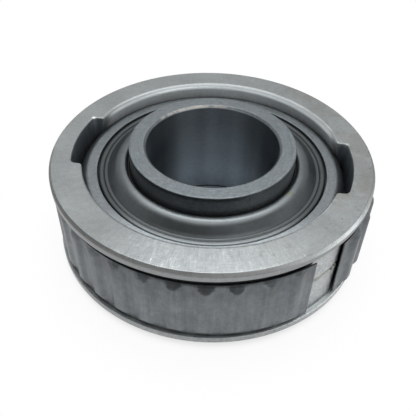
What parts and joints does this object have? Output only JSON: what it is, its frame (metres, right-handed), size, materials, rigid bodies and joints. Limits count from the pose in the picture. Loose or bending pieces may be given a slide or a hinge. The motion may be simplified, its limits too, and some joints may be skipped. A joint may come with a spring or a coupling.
{
  "type": "gimbal bearing",
  "caption": "Sealed ball bearing with a spherical outer race that swivels in a heavy carrier ring, which wears an open corrugated spring band for its housing.",
  "frame": {"origin": "centre of the spherical seat, on the shaft axis and at half the carrier's height", "axes": "+Z along the shaft axis, out of the face with the loading slots; +X and +Y square to it, with the line of the slots 7.2 degrees clockwise of +X seen from above"},
  "size_m": [0.0863, 0.0864, 0.03],
  "materials": {
    "carrier_steel": "turned steel, fine brushed faces",
    "spring_steel": "dull rolled spring steel",
    "race_steel": "ground bearing steel",
    "ball_steel": "polished",
    "cage_steel": "pressed sheet, satin",
    "shield_steel": "pressed sheet, satin with a bluish tone",
    "seal_rubber": "matte black"
  },
  "bodies": {
    "carrier": {"carrier": "carrier_steel"},
    "tolerance_ring": {"tolerance_ring": "spring_steel"},
    "race": {"outer_race": "race_steel", "shield_upper": "shield_steel", "shield_lower": "shield_steel", "seal_lip_upper": "seal_rubber", "seal_lip_lower": "seal_rubber"},
    "inner_race": {"inner_race": "race_steel"},
    "cage": {"cage_upper": "cage_steel", "cage_lower": "cage_steel", "cage_rivets": "cage_steel"},
    "ball_1": {"ball_1": "ball_steel"},
    "ball_2": {"ball_2": "ball_steel"},
    "ball_3": {"ball_3": "ball_steel"},
    "ball_4": {"ball_4": "ball_steel"},
    "ball_5": {"ball_5": "ball_steel"},
    "ball_6": {"ball_6": "ball_steel"},
    "ball_7": {"ball_7": "ball_steel"},
    "ball_8": {"ball_8": "ball_steel"},
    "ball_9": {"ball_9": "ball_steel"}
  },
  "joints": [
    {"name": "tolerance_ring_turn", "type": "hinge", "parent": "carrier", "child": "tolerance_ring", "pos_m": [0, 0, 0], "axis": [0, 0, 1], "continuous": true},
    {"name": "race_swivel", "type": "hinge", "parent": "carrier", "child": "race", "pos_m": [0, 0, 0], "axis": [0.9921, -0.1253, 0], "range_deg": [-90, 90]},
    {"name": "shaft_spin", "type": "hinge", "parent": "race", "child": "inner_race", "pos_m": [0, 0, 0], "axis": [0, 0, 1], "continuous": true},
    {"name": "cage_orbit", "type": "hinge", "parent": "race", "child": "cage", "pos_m": [0, 0, 0], "axis": [0, 0, 1], "continuous": true},
    {"name": "ball_1_roll", "type": "hinge", "parent": "cage", "child": "ball_1", "pos_m": [0.02675, 0, 0], "axis": [0, 0, 1], "continuous": true},
    {"name": "ball_2_roll", "type": "hinge", "parent": "cage", "child": "ball_2", "pos_m": [0.02049, 0.01719, 0], "axis": [0, 0, 1], "continuous": true},
    {"name": "ball_3_roll", "type": "hinge", "parent": "cage", "child": "ball_3", "pos_m": [0.00465, 0.02634, 0], "axis": [0, 0, 1], "continuous": true},
    {"name": "ball_4_roll", "type": "hinge", "parent": "cage", "child": "ball_4", "pos_m": [-0.01337, 0.02317, 0], "axis": [0, 0, 1], "continuous": true},
    {"name": "ball_5_roll", "type": "hinge", "parent": "cage", "child": "ball_5", "pos_m": [-0.02514, 0.00915, 0], "axis": [0, 0, 1], "continuous": true},
    {"name": "ball_6_roll", "type": "hinge", "parent": "cage", "child": "ball_6", "pos_m": [-0.02514, -0.00915, 0], "axis": [0, 0, 1], "continuous": true},
    {"name": "ball_7_roll", "type": "hinge", "parent": "cage", "child": "ball_7", "pos_m": [-0.01337, -0.02317, 0], "axis": [0, 0, 1], "continuous": true},
    {"name": "ball_8_roll", "type": "hinge", "parent": "cage", "child": "ball_8", "pos_m": [0.00465, -0.02634, 0], "axis": [0, 0, 1], "continuous": true},
    {"name": "ball_9_roll", "type": "hinge", "parent": "cage", "child": "ball_9", "pos_m": [0.02049, -0.01719, 0], "axis": [0, 0, 1], "continuous": true}
  ],
  "couplings": [
    {"joint": "cage_orbit", "follows": "shaft_spin", "ratio": 0.39615},
    {"joint": "ball_1_roll", "follows": "shaft_spin", "ratio": -2.3035},
    {"joint": "ball_2_roll", "follows": "shaft_spin", "ratio": -2.3035},
    {"joint": "ball_3_roll", "follows": "shaft_spin", "ratio": -2.3035},
    {"joint": "ball_4_roll", "follows": "shaft_spin", "ratio": -2.3035},
    {"joint": "ball_5_roll", "follows": "shaft_spin", "ratio": -2.3035},
    {"joint": "ball_6_roll", "follows": "shaft_spin", "ratio": -2.3035},
    {"joint": "ball_7_roll", "follows": "shaft_spin", "ratio": -2.3035},
    {"joint": "ball_8_roll", "follows": "shaft_spin", "ratio": -2.3035},
    {"joint": "ball_9_roll", "follows": "shaft_spin", "ratio": -2.3035}
  ]
}
